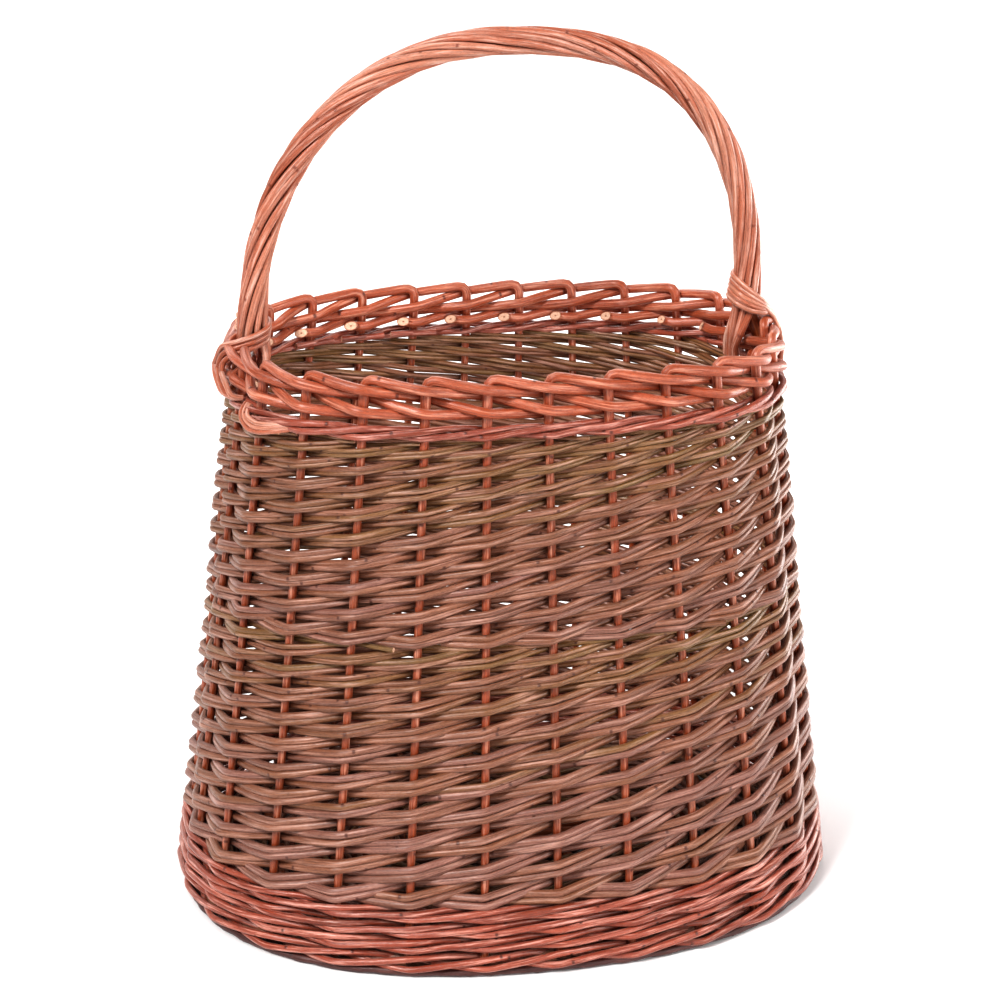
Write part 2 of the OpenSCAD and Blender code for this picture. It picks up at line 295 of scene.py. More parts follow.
class Looks:
    """A material whose nodes are joined up one by one."""

    def __init__(self, name):
        self.material = bpy.data.materials.new(name)
        self.material.use_nodes = True
        self.tree = self.material.node_tree
        self.shader = self.tree.nodes["Principled BSDF"]

    def feed(self, socket, value):
        """Joins a socket to another node's output, or sets it to a constant."""
        if hasattr(value, "node"):
            self.tree.links.new(value, socket)
        else:
            socket.default_value = value

    def set(self, name, value):
        """Feeds one of the shader's own sockets."""
        self.feed(self.shader.inputs[name], value)

    def node(self, kind, inputs=(), **settings):
        """A new node with its settings, and its inputs fed by name or by number."""
        made = self.tree.nodes.new("ShaderNode" + kind)
        for name, value in settings.items():
            setattr(made, name, value)
        for socket, value in dict(inputs).items():
            self.feed(made.inputs[socket], value)
        return made

    def maths(self, operation, a, b=0.5, clamp=False):
        return self.node("Math", {0: a, 1: b}, operation=operation, use_clamp=clamp).outputs[0]

    def map_range(self, value, start, end, new_start, new_end):
        """The value, moved from one range into another and held inside it."""
        inputs = {0: value, 1: start, 2: end, 3: new_start, 4: new_end}
        return self.node("MapRange", inputs).outputs[0]

    def noise(self, vector, stretch, detail=3, roughness=0.55):
        """Noise, with so many cells to a millimetre along each way."""
        scaled = self.node("VectorMath", {0: vector, 1: stretch}, operation="MULTIPLY").outputs[0]
        inputs = {"Vector": scaled, "Scale": 1, "Detail": detail, "Roughness": roughness}
        return self.node("TexNoise", inputs).outputs["Fac"]

    def ramp(self, factor, stops):
        """Colours or greys at stops along the factor, and blends of them between."""
        made = self.node("ValToRGB", {"Fac": factor})
        elements = made.color_ramp.elements
        while len(elements) < len(stops):
            elements.new(0.5)
        for element, (position, value) in zip(elements, stops):
            element.position = position
            element.color = value if np.ndim(value) else (value, value, value, 1)
        return made.outputs["Color"]

    def mix(self, factor, a, b, blend="MIX"):
        """Two colours mixed: the node's sockets 0, 6 and 7 take the factor and the colours."""
        made = self.node("Mix", data_type="RGBA", blend_type=blend)
        for number, value in ((0, factor), (6, a), (7, b)):
            self.feed(made.inputs[number], value)
        return made.outputs[2]


WHITE = colour(255, 255, 255)
SCAR_SPACING = 40                  # typical, from one bud scar to the next along a rod

# Cells of noise to a millimetre, along a rod and across it
PATCHES = (0.012, 0.12, 0.12)
STREAKS = (0.03, 1.5, 1.5)
SPECKLE = (0.6, 1.6, 1.6)
# The next is for pale streaks painted in as highlights
PAINTED_HIGHLIGHT_STREAKS = (0.035, 0.6, 0.6)
DIRT = (1.2, 1.2, 1.2)

# Tints that multiply a rod's colour, from the dark parts of the noise to its light ones
STREAK_TINTS = [(0.3, colour(150, 126, 114)), (0.5, colour(228, 220, 215)), (0.66, colour(255, 252, 250))]
SPECKLE_TINTS = [(0.32, colour(140, 116, 104)), (0.5, colour(240, 238, 236)), (0.66, WHITE)]
DIRT_TINTS = [(0.3, colour(190, 150, 120)), (0.6, WHITE)]


def bud_scars(looks, grain):
    """How much of a bud scar there is: small spots at uneven distances, each on one side of the rod."""
    split = looks.node("SeparateXYZ", {0: grain}).outputs
    along = looks.maths("MULTIPLY", split["X"], 1 / SCAR_SPACING)
    cells = looks.node("TexVoronoi", {"W": along, "Scale": 1}, voronoi_dimensions="1D")
    away = looks.maths("MULTIPLY", cells.outputs["Distance"], SCAR_SPACING)
    side = looks.node("SeparateColor", {0: cells.outputs["Color"]}).outputs[0]
    side = looks.maths("MULTIPLY", side, 2 * math.pi)
    facing = looks.maths("SUBTRACT", looks.maths("ARCTAN2", split["Z"], split["Y"]), side)
    facing = looks.maths("COSINE", facing)
    near = looks.map_range(away, 1.3, 0.4, 0, 0.8)
    on_side = looks.map_range(facing, 0.8, 0.95, 0, 1)
    return looks.maths("MULTIPLY", near, on_side)


def willow(name, shades, scar_colour, painted_highlight_colour, roughness, mottle, painted_highlight=0.42):
    """Willow in its bark: shades from rod to rod, streaks along it, bud scars, and a satin sheen, with pale
    streaks painted in as highlights.
    Mottle is how far the shade wanders within a rod; the last argument is how much of the painted highlight
    colour lies on it."""
    looks = Looks(name)
    grain = looks.node("Attribute", attribute_name="grain").outputs["Vector"]
    tone = looks.node("Attribute", attribute_name="tone").outputs["Fac"]
    patches = looks.noise(grain, PATCHES, 2)
    wander = looks.maths("MULTIPLY", looks.maths("SUBTRACT", patches, 0.5), mottle)
    shade = looks.maths("ADD", tone, wander, clamp=True)
    stops = [(i / (len(shades) - 1), colour(*value)) for i, value in enumerate(shades)]
    base = looks.ramp(shade, stops)
    streaks = looks.noise(grain, STREAKS, 4, 0.7)
    base = looks.mix(0.8, base, looks.ramp(streaks, STREAK_TINTS), "MULTIPLY")
    speckle = looks.noise(grain, SPECKLE, 3, 0.7)
    base = looks.mix(0.5, base, looks.ramp(speckle, SPECKLE_TINTS), "MULTIPLY")
    # Painted highlight: pale streaks mixed into the colour where light would glint on the rods
    painted_highlight_mask = looks.ramp(looks.noise(grain, PAINTED_HIGHLIGHT_STREAKS, 4, 0.7), [(0.5, 0.0), (0.68, painted_highlight)])
    base = looks.mix(painted_highlight_mask, base, colour(*painted_highlight_colour))
    scar = bud_scars(looks, grain)
    base = looks.mix(scar, base, colour(*scar_colour))
    looks.set("Base Color", base)

    grit = looks.maths("ADD", looks.maths("MULTIPLY", streaks, 0.5), looks.maths("MULTIPLY", speckle, 0.5))
    looks.set("Roughness", looks.map_range(grit, 0.38, 0.62, roughness + 0.16, roughness - 0.06))
    looks.set("Specular IOR Level", 0.6)
    looks.set("Coat Weight", 0.1)
    looks.set("Coat Roughness", 0.3)
    looks.set("Sheen Weight", 0.08)
    looks.set("Sheen Roughness", 0.4)
    height = looks.maths("ADD", looks.maths("MULTIPLY", streaks, 0.22), looks.maths("MULTIPLY", speckle, 0.1))
    height = looks.maths("ADD", height, looks.maths("MULTIPLY", scar, 0.25))
    bump = looks.node("Bump", {"Strength": 0.85, "Distance": 0.0012, "Height": height})
    looks.set("Normal", bump.outputs["Normal"])
    return looks.material


def cut_end(name):
    """The end grain of a cut rod: a dark rim of bark, pale wood, and a brown pith."""
    looks = Looks(name)
    heart = looks.node("Attribute", attribute_name="heart").outputs["Fac"]
    grain = looks.node("Attribute", attribute_name="grain").outputs["Vector"]
    wood = looks.ramp(heart, [
        (0.0, colour(150, 86, 60)),
        (0.14, colour(214, 168, 140)),
        (0.3, colour(232, 198, 174)),
        (0.78, colour(228, 190, 164)),
        (0.9, colour(160, 108, 84)),
    ])
    dirt = looks.noise(grain, DIRT, 3)
    looks.set("Base Color", looks.mix(0.4, wood, looks.ramp(dirt, DIRT_TINTS), "MULTIPLY"))
    looks.set("Roughness", 0.75)
    return looks.material


cut_wood = cut_end("willow_end_grain")
# Each bark below gives the colour and strength of its painted highlight streaks
stake_bark = willow(
    "buff_willow_stake",
    [(144, 70, 24), (162, 84, 34), (180, 98, 48)],
    scar_colour=(84, 34, 20), painted_highlight_colour=(214, 140, 100), roughness=0.36, mottle=0.4,
)
border_bark = willow(
    "buff_willow_border",
    [(148, 72, 36), (168, 86, 48), (180, 92, 56), (196, 110, 78), (188, 104, 78)],
    scar_colour=(84, 34, 22), painted_highlight_colour=(250, 190, 164), roughness=0.3, mottle=0.6, painted_highlight=0.5,
)
wale_bark = willow(
    "buff_willow_wale",
    [(134, 61, 37), (164, 81, 57), (184, 103, 81), (166, 91, 73), (151, 74, 48)],
    scar_colour=(74, 32, 24), painted_highlight_colour=(255, 200, 184), roughness=0.28, mottle=0.9, painted_highlight=0.6,
)
siding_bark = willow(
    "brown_willow_bark",
    [(134, 104, 60), (146, 106, 66), (140, 94, 66), (156, 106, 80), (142, 98, 80), (156, 110, 96)],
    scar_colour=(78, 36, 24), painted_highlight_colour=(226, 180, 164), roughness=0.34, mottle=0.6,
)
# Dark shades for the base's edge ring: painted shade for the shadow under the foot waling
edge_bark_painted_shade = willow(
    "willow_edge_painted_shade",
    [(74, 38, 36), (96, 54, 48), (82, 44, 44)],
    scar_colour=(50, 26, 24), painted_highlight_colour=(130, 84, 76), roughness=0.45, mottle=0.8,
)
handle_bark = willow(
    "handle_willow_bark",
    [(184, 106, 76), (206, 130, 102), (220, 154, 128), (202, 134, 110)],
    scar_colour=(120, 56, 38), painted_highlight_colour=(255, 224, 208), roughness=0.28, mottle=0.6, painted_highlight=0.5,
)

# ---------- waling ----------

STAKE = 4.8                # thickness of a stake
WALE_ROD = 4.2             # and of a waling rod
WALE_REACH = STAKE / 2 + WALE_ROD / 2 + 0.4
WALE_SPANS = ((0, 27), (1, 27), (2, 24))      # how far on each rod starts, in stakes, and how far it goes
WALE_TONES = 14            # how often a rod's thickness and shade change along it


def wale(name, node, start, drop=0):
    """Three rods twined together: each passes outside two stakes, rising, and then inside one.
    Drop is how far the round sags below its place."""
    low, high = box_mm(node)
    low, high = low[2] - drop, high[2] + 0.3
    middle = (low + high) / 2
    quarter = (high - low) / 4
    bundle = Bundle()
    for first, steps in WALE_SPANS:
        places = [(start + first - 0.4, -WALE_REACH, middle)]
        for step in range(steps + 1):
            u = start + first + step
            jitter = chance.normal(0, 0.35, 2)
            state = step % 3
            r = -WALE_REACH if state == 0 else WALE_REACH + 0.4
            z = middle + quarter * (0, -1, 1)[state]
            places.append((u + chance.normal(0, 0.04), r + jitter[0], z + jitter[1]))
            if step < steps:
                places.append((
                    u + 0.5 + chance.normal(0, 0.05),
                    (0, WALE_REACH + 0.2, 0)[state],
                    middle + quarter * (-0.95, 0, 0.95)[state] + chance.normal(0, 0.3),
                ))
        last = places[-1]
        places.append((last[0] + 0.45, last[1] * 0.8, middle))
        widths = WALE_ROD + chance.uniform(-0.7, 0.4, WALE_TONES)
        tones = np.clip(chance.normal(0.5, 0.28, WALE_TONES), 0, 1)
        bundle.rod(course(places, 2.6), widths, tones)
    bundle.piece(name, wale_bark, "buff_willow", node)


FOOT_ROUNDS = 4
FIRST_SAG = 3              # the lowest round hangs a little over the edge of the base

for number in range(FOOT_ROUNDS):
    sag = 0 if number else FIRST_SAG
    wale(f"foot_wale_round_{number + 1}", f"foot_wale_{number + 1}", math.ceil(BACK) + number, sag)
wale("top_wale_round", "top_wale", math.ceil(BACK) + 1)

# ---------- siding ----------

LEG_DEPTH = box_mm("handle_bow")[0][2]
SNUG = 1.14                # neighbouring rods press into each other a little
SIDING_TONES = 9           # how often a rod's shade changes along it
STRAY_EVERY = 7            # every so many pairs, a tip stands out of the weave
STRAY_FIRST = 3
ROW_NOISE = 0.25           # typical distance of a rod from its place in the weave


def along_rod(values, count):
    """So many values at even distances along a rod, from a few."""
    return np.interp(np.linspace(0, 1, count), np.linspace(0, 1, len(values)), values)


def siding(node, levels, taper, tones):
    """Pairs of rods, one pair starting at each stake, woven out and in as they climb.
    Taper and tones are a rod's thickness and its place among the bark's shades, from butt to tip."""
    low, high = box_mm(node)
    low, high = low[2] - 0.15, high[2] + 0.15
    widths = along_rod(taper, levels)
    widths *= (high - low) / (2 * widths.sum())
    floors = low + np.concatenate([[0], np.cumsum(2 * widths)])
    for pair in range(STAKES):
        bundle = Bundle()
        shift = chance.normal(0, 0.1)
        for upper in (0, 1):
            share = 0.5 + upper
            start = floors[0] + widths[0] * share
            places = [(pair - 0.72 + 0.08 * upper + chance.uniform(-0.08, 0.08), -2.6, start - 1.2)]
            for level in range(levels):
                u = pair + level
                side = -1 if level % 2 else 1
                width = widths[level]
                z = floors[level] + width * share + chance.normal(0, ROW_NOISE)
                r = side * (STAKE / 2 + width / 2 + 0.25) + chance.normal(0, ROW_NOISE)
                places.append((u + chance.normal(0, 0.03), r, z))
                if u % (STAKES // 2) == 0 and z > LEG_DEPTH - 2:
                    places.append((u + LEG_SHARE, side * (4.1 + width / 2), z + LEG_SHARE * 2 * width))
            if upper and pair % STRAY_EVERY == STRAY_FIRST:
                ahead, out, rise = 0.66, STAKE / 2 + 3.2, 1
            else:
                ahead, out, rise = 0.95, 1.4, 1.3 * width
            places.append((u + ahead + chance.uniform(-0.06, 0.06), out, min(z + rise, high + 0.8)))
            rod_shift = shift + chance.normal(0, 0.13) + chance.normal(0, 0.05, SIDING_TONES)
            rod_tones = np.clip(along_rod(tones, SIDING_TONES) + rod_shift, 0, 1)
            bundle.rod(course(places, 1.2, 2.4), widths * SNUG * chance.normal(1, 0.05), rod_tones)
        bundle.piece(f"{node}_pair_{pair + 1:02d}", siding_bark, "brown_willow", node)


siding("siding_lower", 20, taper=(4.5, 4.4, 4.1, 3.8, 2.9), tones=(0.7, 0.75, 0.65, 0.5, 0.15))
siding("siding_upper", 18, taper=(3.9, 3.95, 3.9, 3.4, 2.2), tones=(0.7, 0.65, 0.5, 0.3, 0.1))

# ---------- stakes and border ----------

BORDER_ROD = 5.9
KINK = 0.55                # added to a reach, since rounding the line takes some off it
REACH = 5.7                # of a border rod from the stakes' line as it passes a stake
LEG_REACH = 8.0            # and as it passes a leg of the handle
LEVELS = (TOP - BORDER - BORDER_ROD / 2, 20.2, 13.6, 7.6, 3.2)     # at its own stake and the four after
SIDE_AT = (0, 1, -1, 1, -1)                   # 1 where it passes outside a stake, -1 where inside
LAST = 4                   # the stake that it ends behind
FOOT_REACH = 28            # of a stake's foot into the base
WOBBLE_HEIGHTS = (120, 230)                   # where a stake stands a little out of line
THICKENING = (BORDER - 25, BORDER + 2)        # heights between which a stake becomes a border rod


def passes_leg(i, step):
    """Whether a leg of the handle stands after that stake of the rod's."""
    return (i + step) % (STAKES // 2) == 0


def at_leg(i, step):
    """Where a border rod crosses a handle leg after that stake, or nothing."""
    if not passes_leg(i, step) or step == LAST:
        return []
    side = SIDE_AT[step] if step else 1
    z = BORDER + LEVELS[step] * (1 - LEG_SHARE) + LEVELS[step + 1] * LEG_SHARE
    return [(i + step + LEG_SHARE, side * LEG_REACH, z)]


def stake(i):
    """One rod: a foot in the base, the stake in the wall, and then a rod of the border."""
    bundle = Bundle()
    tone = chance.uniform()
    wobble = chance.normal(0, 0.35, 8)
    foot = [(i, -FOOT_REACH, BASE_MIDDLE), (i, 0.0, BASE_MIDDLE)]
    rise = [(i + 0.012 * wobble[k], 0, height) for k, height in enumerate(WOBBLE_HEIGHTS)]
    rise.append((i, 0, BORDER + 4))
    bend = BORDER + LEVELS[0] + 0.6
    over = [(i, 0.2, bend - 3.2), (i + 0.035, 0.5, bend - 0.4), (i + 0.12, 1.0, bend)]
    places = foot + rise + over + at_leg(i, 0)
    for step in range(1, LAST + 1):
        r = (REACH + KINK) * SIDE_AT[step] + 0.4 * wobble[step]
        places.append((i + step, r, BORDER + LEVELS[step] + 0.5 * wobble[step + 2]))
        places += at_leg(i, step)
    end = i + LAST + 0.3 + 0.08 * wobble[7]
    inner = -(LEG_REACH if passes_leg(i, LAST) else REACH + 0.4)
    places.append((end, inner, BORDER + LEVELS[LAST] + 1.2))
    line = course(places, 2.4, 2.8)
    facing = np.append(-outward(end), 0.5) * 1.1
    tones = np.interp(line[:, 2], THICKENING, (0.12, 0.55)) + 0.3 * tone
    widths = np.interp(line[:, 2], THICKENING, (STAKE + 0.1, BORDER_ROD))
    bundle.rod(line, widths, tones, facing, sides=12)
    node = f"stake_{i + 1:02d}"
    bundle.piece(f"{node}_rod", border_bark, "buff_willow", node)


for i in range(STAKES):
    stake(i)

# ---------- handle ----------

BOW_RADIUS = 4
BOW_FOOT = TOP + 1         # where the bow's curve begins
BOW_HALF_SPAN = 150
RIGHT_POWER = 2.57         # exponent of its curve: 2 is an ellipse, and the right side is squarer
LEFT_POWER = 2.11
BOW_KNEE = TOP - 11.5      # where each leg enters the wall
BOW_TOP = box_mm("handle_bow")[1][2] - BOW_RADIUS
TURN_STEP = 0.004          # of an angle, for the direction of the bow
Y = np.array((0, 1, 0))


def bow_point(turn):
    """A point of the bow's centre line, from 0 at the right foot to half a turn at the left."""
    c, s = np.cos(turn), np.clip(np.sin(turn), 0, 1)
    power = np.where(c > 0, RIGHT_POWER, LEFT_POWER)
    return np.stack([
        BOW_HALF_SPAN * np.sign(c) * np.abs(c) ** (2 / power),
        np.zeros_like(c),
        BOW_FOOT + (BOW_TOP - BOW_FOOT) * s ** (2 / power),
    ], -1)


def bow_turn(height, power):
    """The angle from a foot at which the bow stands that high above the border."""
    return math.asin(((TOP + height - BOW_FOOT) / (BOW_TOP - BOW_FOOT)) ** (power / 2))


def bow_frame(turn):
    """The bow's centre and the direction out of its curve."""
    ahead, behind = bow_point(turn + TURN_STEP), bow_point(turn - TURN_STEP)
    along = ahead - behind
    along /= np.linalg.norm(along, axis=-1, keepdims=True)
    return bow_point(turn), np.cross(Y, along)


arch = bow_point(np.linspace(0.005, math.pi - 0.005, 400))
right_leg = wall([(LEGS[0], 0, LEG_DEPTH), (LEGS[0], 0, BOW_KNEE)])
left_leg = wall([(LEGS[1], 0, BOW_KNEE), (LEGS[1], 0, LEG_DEPTH)])
core = Bundle()
core.rod(soften(np.concatenate([right_leg, arch, left_leg]), 5, 4), 2 * BOW_RADIUS, 0.5)
core.piece("handle_bow_core", stake_bark, "handle_willow", "handle_bow")

STRANDS = 9
STRAND = 4.2
STRAND_REACH = BOW_RADIUS + STRAND / 2 + 0.1
STRAND_POINTS = 260
TURNS = 2.6                # of the roping around the bow, from foot to foot
ROPE_START = 5             # height above the border of the roping's right end
ROPE_END = 2               # and of its left end
FLARE = 1.1                # how far the strands spread at each foot
FLARE_SHARE = 0.03         # and over what share of their length
INNER = 0.1                # a strand whose cosine is below this ends on the inside of the leg


def tucked_end(leg, side, spin, lean, tuck):
    """Places where a roping strand runs on, down the inside of the border, below its end on the bow.
    It leans by a share of a stake's spacing, and its end is tucked to that distance from the wall's line."""
    u = leg + 0.3 * side * math.sin(spin)
    return wall([
        (u + 0.2 * lean, -14.5 + 2 * math.cos(spin), TOP - 12),
        (u + 0.7 * lean, (tuck - 16.5) / 2, TOP - 20),
        (u + lean, tuck, TOP - 30),
    ])


def roping_strand(number):
    """One of the strands around the bow. The strands' thick ends lie in turn at either foot."""
    first = bow_turn(ROPE_START, RIGHT_POWER)
    last = math.pi - bow_turn(ROPE_END, LEFT_POWER)
    share = np.linspace(0, 1, STRAND_POINTS)
    centre, out = bow_frame(first + share * (last - first))
    drift = np.interp(share, np.linspace(0, 1, 9), chance.normal(0, 0.07, 9))
    lift = np.interp(share, np.linspace(0, 1, 14), chance.normal(0, 0.25, 14))
    lift += FLARE * np.exp(-share / FLARE_SHARE) + FLARE * np.exp((share - 1) / FLARE_SHARE)
    spin = 2 * math.pi * (number / STRANDS + share * TURNS) + drift
    reach = (STRAND_REACH + lift)[:, None]
    line = centre + reach * (out * np.cos(spin)[:, None] + Y * np.sin(spin)[:, None])
    if math.cos(spin[0]) < INNER:
        line = np.concatenate([tucked_end(LEGS[0], 1, spin[0], lean=0.42, tuck=-15)[::-1], line])
    if math.cos(spin[-1]) < INNER:
        line = np.concatenate([line, tucked_end(LEGS[1], -1, spin[-1], lean=0, tuck=-10.5)])
    else:
        line = np.concatenate([line, line[-1:] - (0, 0, 5)])
    ends = (STRAND + 0.4, STRAND - 0.4)
    rope = Bundle()
    rope.rod(soften(line, 2.5, 3.2), ends if number % 2 else ends[::-1])
    rope.piece(f"handle_roping_strand_{number + 1}", handle_bark, "handle_willow", "handle_roping")


for number in range(STRANDS):
    roping_strand(number)

# ---------- lashings at the handle's feet ----------

LASHING = 3.5              # thickness of a lashing's rod
RIGHT_WRAPS = 5
RIGHT_TAILS = 3            # of those wraps run on over the border
LEFT_WRAPS = 3


def lashing(places, soft=2.2):
    """The line of a lashing rod through places on the wall."""
    return course(places, soft, 2.2)


def lashing_right():
    """Five wraps that slope down to the outside; three run on over the border and tuck in under it."""
    leg = LEGS[0]
    wraps, tails = Bundle(), Bundle()
    for j in range(RIGHT_WRAPS):
        fall = TOP + 4 - 3.1 * j
        gather = TOP + 1 - 1.5 * j
        inner = -13.2 - j
        places = [
            (leg + 0.2, 3, fall + 19),
            (leg + 0.36, -7, fall + 22),
            (leg + 0.1, inner, fall + 20.5),
            (leg - 0.26, inner + 2.6, fall + 17),
            (leg - 0.36, -6, fall + 13),
            (leg - 0.22, 3.4, gather + 7.5),
        ]
        if j >= RIGHT_TAILS:
            wraps.rod(lashing(places + [(leg + 0.02, 6.2, gather + 5)]), LASHING)
            continue
        side = 0.07 * (1 - j)
        crest = (leg + 0.04 + side, 12.6, TOP - 9)
        wraps.rod(lashing(places + [(leg + side, 9.2, gather + 1), crest]), LASHING)
        tail = [
            crest,
            (leg + 0.02 + side, 13.6, TOP - 20),
            (leg - 0.03 + side, 12, BORDER + 1),
            (leg - 0.08 + side, 8.6, BORDER - 11),
        ]
        tails.rod(lashing(tail), LASHING)
    wraps.piece("lashing_right_wraps", handle_bark, "handle_willow", "lashing_right")
    tails.piece("lashing_right_ends", handle_bark, "handle_willow", "lashing_tails_right")


def lashing_left():
    """Three wraps that slope down to the outside and over the border. Each end goes in behind the
    top waling, hangs out below it in a loop, and goes in again."""
    leg = LEGS[1]
    wraps, tails = Bundle(), Bundle()
    for j in range(LEFT_WRAPS):
        fall = TOP - 3.5 * j
        spread = 0.3 * j
        crest = (leg - 0.05 + spread, 14 - j, TOP - 17)
        wrap = [
            (leg - 0.2, 3, fall + 10),
            (leg - 0.36, -7, fall + 10),
            (leg - 0.1, -16.3, fall + 7.5),
            (leg + 0.26, -14, fall + 5),
            (leg + 0.38, -6, fall + 2),
            (leg + 0.34, 5, fall - 1.5),
            (leg + 0.1 + spread / 2, 11.6, fall - 5),
            crest,
        ]
        wraps.rod(lashing(wrap), LASHING)
        tail = [
            crest,
            (leg + 0.02 + 0.45 * j, 13.6 - 1.2 * j, BORDER + 5 + 0.5 * j),
            (leg + 0.42 + 0.3 * j, 10.5 - 0.3 * j, BORDER - 2 + 1.5 * j),
            (leg + 0.85 + 0.12 * j, 3, BORDER - 4 + 2 * j),
        ]
        tails.rod(lashing(tail, 2), LASHING)
        loop = [
            (leg + 1.25 + 0.08 * j, 3, BORDER - 1),
            (leg + 1.38 + 0.1 * j, 8.4, BORDER - 4),
            (leg + 1.48 + 0.11 * j, 9.4, BORDER - 8 + 1.5 * j),
            (leg + 1.68 + 0.11 * j, 9.4, BORDER - 11.5 + 2.6 * j),
            (leg + 1.95, 8.8, BORDER - 11 + 2.6 * j),
            (leg + 2.2, 6.6, BORDER - 9 + 2 * j),
            (leg + 2.45, 3, BORDER - 7 + 1.5 * j),
        ]
        tails.rod(lashing(loop, 1.6), (LASHING - 0.4, LASHING - 0.9))
    wraps.piece("lashing_left_wraps", handle_bark, "handle_willow", "lashing_left")
    tails.piece("lashing_left_ends", handle_bark, "handle_willow", "lashing_tails_left")


lashing_right()
lashing_left()

# ---------- base ----------

BASE_ROD = 3.0
BASE_PITCH = 3.5           # from one ring of the weave to the next
RING_SAMPLES = 720         # points that a ring of the weave is worked out from
CROSS_COUNT = 9
CROSS_PITCH = 36
CROSS_STICK = 8
LONG_COUNT = 3
LONG_PITCH = 9
LONG_STICK = 5
LONG_INSET = 34            # how far the long sticks end inside the stakes' line
CROSS_INSET = 30
MIDDLE_ZONE = 85           # inset at which the middle rings give way to the inner ones


def stick_reach(x, inset):
    """Half length across the oval at x, short of the stakes' line by that much."""
    share = (1 - (abs(x) / floor_half[0]) ** FLOOR_ROUNDNESS) ** (1 / FLOOR_ROUNDNESS)
    return floor_half[1] * share - inset


sticks = Bundle()
cross_places = [(k - (CROSS_COUNT - 1) / 2) * CROSS_PITCH for k in range(CROSS_COUNT)]
for x in cross_places:
    reach = stick_reach(x, CROSS_INSET)
    middle = (x + chance.normal(0, 0.8), 0, BASE_MIDDLE)
    line = np.array([(x, -reach, BASE_MIDDLE), middle, (x, reach, BASE_MIDDLE)])
    sticks.rod(soften(line, 4, 8), CROSS_STICK - 0.4)
sticks.piece("base_cross_sticks", stake_bark, "buff_willow", "cross_sticks")
sticks = Bundle()
for k in range(LONG_COUNT):
    y = (k - (LONG_COUNT - 1) / 2) * LONG_PITCH
    reach = floor_half[0] - LONG_INSET
    line = np.array([(-reach, y, BASE_MIDDLE), (0, y, BASE_MIDDLE), (reach, y, BASE_MIDDLE)])
    sticks.rod(soften(line, 4, 8), LONG_STICK)
sticks.piece("base_long_sticks", stake_bark, "buff_willow", "long_sticks")


def stick_crossings(points, half, travelled):
    """How far along an inner ring it crosses each cross stick, and the long sticks at its ends."""
    crossings = []
    for x in cross_places:
        if abs(x) < half[0] - 12:
            for way in (1, -1):
                near = np.abs(points[:, 0] - x) + 1000 * (points[:, 1] * way < 0)
                crossings.append(travelled[np.argmin(near)])
    return crossings + [travelled[0], travelled[RING_SAMPLES // 2]]


def foot_crossings(points, inset, travelled):
    """How far along an outer ring it crosses the foot of each stake."""
    feet = wall([(i, -inset, 0) for i in range(STAKES)])[:, :2]
    return [travelled[np.argmin(np.linalg.norm(points - foot, axis=1))] for foot in feet]


def base_ring(bundle, inset, parity):
    """One ring of the base's weave: over and under whatever spokes it crosses."""
    half = floor_half - inset
    points = oval(half, FLOOR_ROUNDNESS, RING_SAMPLES)
    closed = np.concatenate([points, points[:1]])
    travelled = distances(closed)
    if inset < FOOT_REACH:
        crossings = sorted(foot_crossings(points, inset, travelled))
        spoke = STAKE
    else:
        crossings = sorted(stick_crossings(points, half, travelled))
        spoke = CROSS_STICK
    rise = spoke / 2 + BASE_ROD / 2 + 0.2
    heights = [rise if (k + parity) % 2 else -rise for k in range(len(crossings))]
    start, turn = crossings[0], travelled[-1]
    wanted = np.arange(start, start + turn + 12, 2)
    ends = [start + turn, start + turn + 60]
    z = np.interp(wanted, crossings + ends, heights + [heights[0], heights[0]])
    x = np.interp(wanted % turn, travelled, closed[:, 0])
    y = np.interp(wanted % turn, travelled, closed[:, 1])
    line = soften(np.column_stack([x, y, z + BASE_MIDDLE]), 3.5, 5)
    line[:, 2] = np.clip(line[:, 2], BASE_ROD / 2 + 0.3, BASE_TOP - BASE_ROD / 2)
    bundle.rod(line, BASE_ROD + 0.3, sides=8)


def base_edge(bundle, inset):
    """A lumpy ring around the base, which shows below the foot waling."""
    points = oval(floor_half - inset, FLOOR_ROUNDNESS, 300)
    points = np.concatenate([points, points[:4]])
    line = np.column_stack([points, 3 + chance.normal(0, 0.25, len(points))])
    widths = np.clip(4.3 + chance.normal(0, 0.5, 160), 3, 5.2)
    bundle.rod(soften(line, 1.5, 3), widths, chance.uniform(0, 1, 40), sides=8)


edge = Bundle()
for inset in (-1.4, 1):
    base_edge(edge, inset)
# The edge ring takes the dark bark, as painted shade where the foot waling shades it
edge.piece("base_weave_edge", edge_bark_painted_shade, "brown_willow", "base_weave_under", "base_weave_over")
insets = np.concatenate([[3.2], np.arange(6, floor_half[1] - 14, BASE_PITCH)])
zones = {"outer": Bundle(), "middle": Bundle(), "inner": Bundle()}
for k, inset in enumerate(insets):
    zone = "outer" if inset < FOOT_REACH else "middle" if inset < MIDDLE_ZONE else "inner"
    base_ring(zones[zone], inset, k % 2)
for zone, bundle in zones.items():
    bundle.piece(f"base_weave_{zone}", siding_bark, "brown_willow", "base_weave_under", "base_weave_over")

# ---------- studio ----------

CAMERA_DISTANCE = 1400.27
CAMERA_ELEVATION = 0.333   # angles in radians
CAMERA_AZIMUTH = -0.188
CAMERA_ROLL = 0.007
CAMERA_AIM = 236.17        # height that it looks at
CAMERA_SHIFT = -2.04       # and how far to the side
LENS = 82.29               # focal length, on a sensor 36 mm wide
FLOOR = 14                 # half width of the paper floor, in metres
PAPER = (250, 250, 250)
WORLD_LIGHT = 0.36
GAMMA = 0.87


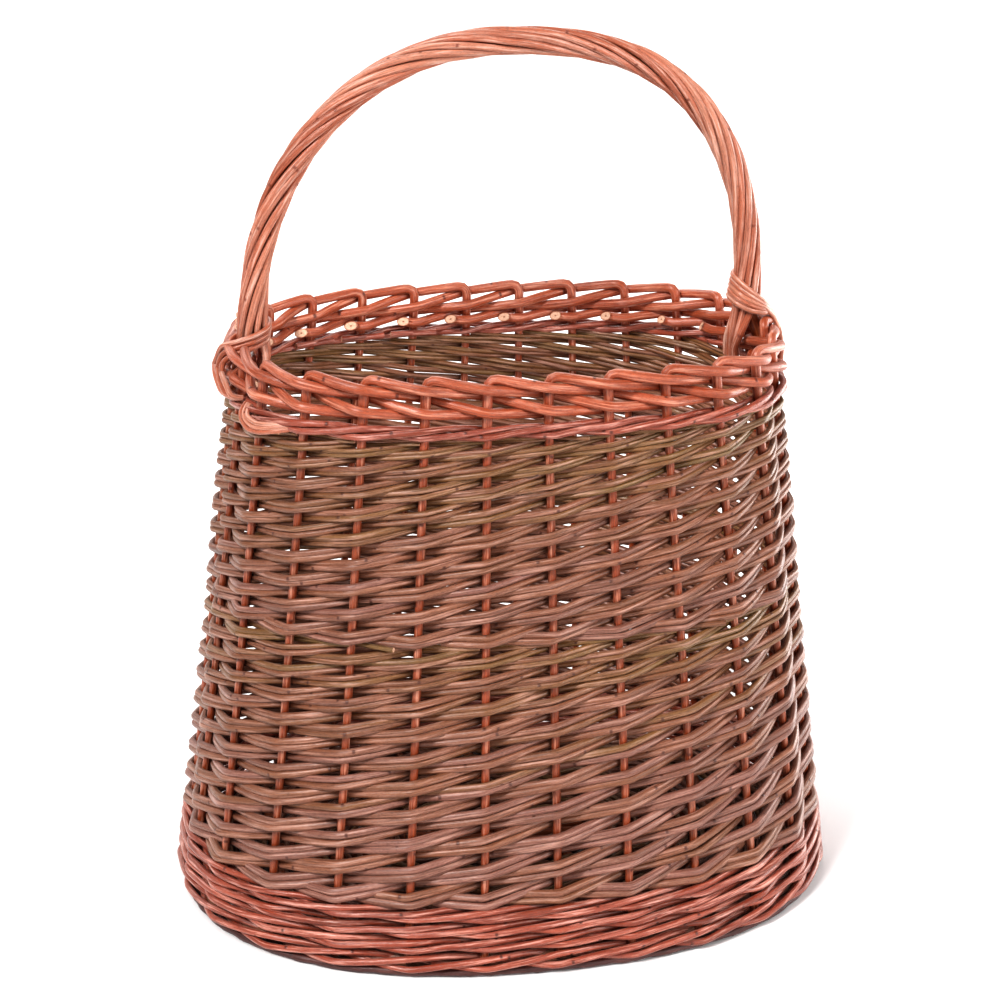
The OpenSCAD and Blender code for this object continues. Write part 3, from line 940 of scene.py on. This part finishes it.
def add_camera():
    """The camera, which looks down at the basket from the front, a little to the left."""
    flat, rise = math.cos(CAMERA_ELEVATION), math.sin(CAMERA_ELEVATION)
    right = Vector((math.cos(CAMERA_AZIMUTH), math.sin(CAMERA_AZIMUTH), 0))
    back = Vector((right.y * flat, -right.x * flat, rise))
    up = back.cross(right)
    aim = Vector((0, 0, CAMERA_AIM)) + right * CAMERA_SHIFT
    rolled_right = math.cos(CAMERA_ROLL) * right + math.sin(CAMERA_ROLL) * up
    rolled_up = math.cos(CAMERA_ROLL) * up - math.sin(CAMERA_ROLL) * right
    turned = Matrix((rolled_right, rolled_up, back)).transposed().to_4x4()
    lens = bpy.data.cameras.new("camera")
    lens.lens = LENS
    lens.sensor_width = 36
    camera = bpy.data.objects.new("camera", lens)
    camera.matrix_world = Matrix.Translation((aim + back * CAMERA_DISTANCE) * MM) @ turned
    bpy.context.scene.collection.objects.link(camera)
    bpy.context.scene.camera = camera


def lamp(name, place, size, watts, target=(0, 0, 0.22)):
    """A square lamp, in metres, that shines on a target and is not seen itself."""
    light = bpy.data.lights.new(name, "AREA")
    light.size = size
    light.energy = watts
    holder = bpy.data.objects.new(name, light)
    holder.location = place
    holder.rotation_euler = (Vector(target) - Vector(place)).to_track_quat("-Z", "Y").to_euler()
    holder.visible_camera = False
    bpy.context.scene.collection.objects.link(holder)


def sun(name, direction, strength, softness):
    """A light from that direction, as wide as that many degrees."""
    light = bpy.data.lights.new(name, "SUN")
    light.energy = strength
    light.angle = math.radians(softness)
    holder = bpy.data.objects.new(name, light)
    holder.rotation_euler = Vector(direction).to_track_quat("Z", "Y").to_euler()
    bpy.context.scene.collection.objects.link(holder)


def add_world():
    """Even white light from all around."""
    world = bpy.data.worlds.new("studio")
    world.use_nodes = True
    background = world.node_tree.nodes["Background"]
    background.inputs["Color"].default_value = (1, 1, 1, 1)
    background.inputs["Strength"].default_value = WORLD_LIGHT
    bpy.context.scene.world = world


def add_floor():
    """A wide sheet of white paper."""
    mesh = bpy.data.meshes.new("floor")
    corners = [(-FLOOR, -FLOOR, 0), (FLOOR, -FLOOR, 0), (FLOOR, FLOOR, 0), (-FLOOR, FLOOR, 0)]
    mesh.from_pydata(corners, [], [(0, 1, 2, 3)])
    paper = Looks("white_paper")
    paper.set("Base Color", colour(*PAPER))
    paper.set("Roughness", 0.9)
    mesh.materials.append(paper.material)
    floor = bpy.data.objects.new("floor", mesh)
    bpy.context.scene.collection.objects.link(floor)


add_camera()
sun("key", (-0.75, -0.65, 1.0), strength=2.62, softness=14)
sun("fill", (0.75, -0.85, 0.45), strength=1.4, softness=30)
sun("back", (-0.4, 0.9, 0.7), strength=0.7, softness=40)
lamp("rim", (0.5, 1.7, 1.5), size=0.8, watts=10)
lamp("side", (1.4, 0.45, 0.18), size=0.9, watts=17)
lamp("inside", (0, -0.07, 0.25), size=0.16, watts=0.18, target=(0, 0.11, 0.3))
add_world()
add_floor()

view = bpy.context.scene.view_settings
view.view_transform = "Standard"
view.look = "Medium High Contrast"
view.gamma = GAMMA
